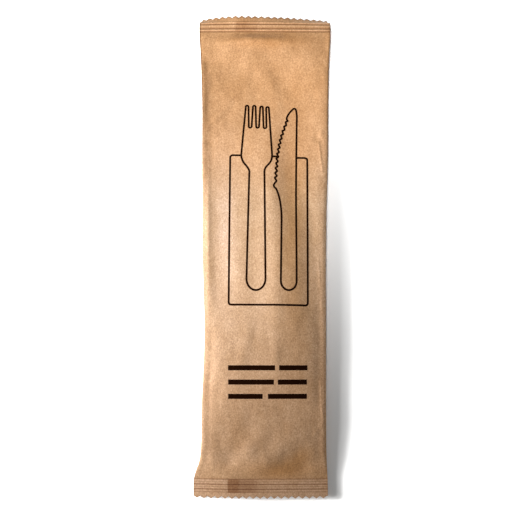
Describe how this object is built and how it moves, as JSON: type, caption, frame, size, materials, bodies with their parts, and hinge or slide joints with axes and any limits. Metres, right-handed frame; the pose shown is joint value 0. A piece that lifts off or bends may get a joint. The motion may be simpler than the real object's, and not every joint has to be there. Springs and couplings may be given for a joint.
{
  "type": "sealed wooden cutlery pack",
  "caption": "Sealed flow-wrap pouch of brown kraft paper holding disposable cutlery, with zigzag-cut crimped ends, a back fin seal and a printed line drawing.",
  "frame": {"origin": "centre of the pack's plan, on the floor it lies on", "axes": "+Z out of the printed face, +Y along the pack to the end whose flap curls down, +X to the right as the print is read"},
  "size_m": [0.0648, 0.2294, 0.0086],
  "materials": {
    "kraft_paper": "matte",
    "black_ink": "matte"
  },
  "bodies": {
    "root": {"sealed_pack": "kraft_paper"}
  },
  "joints": []
}
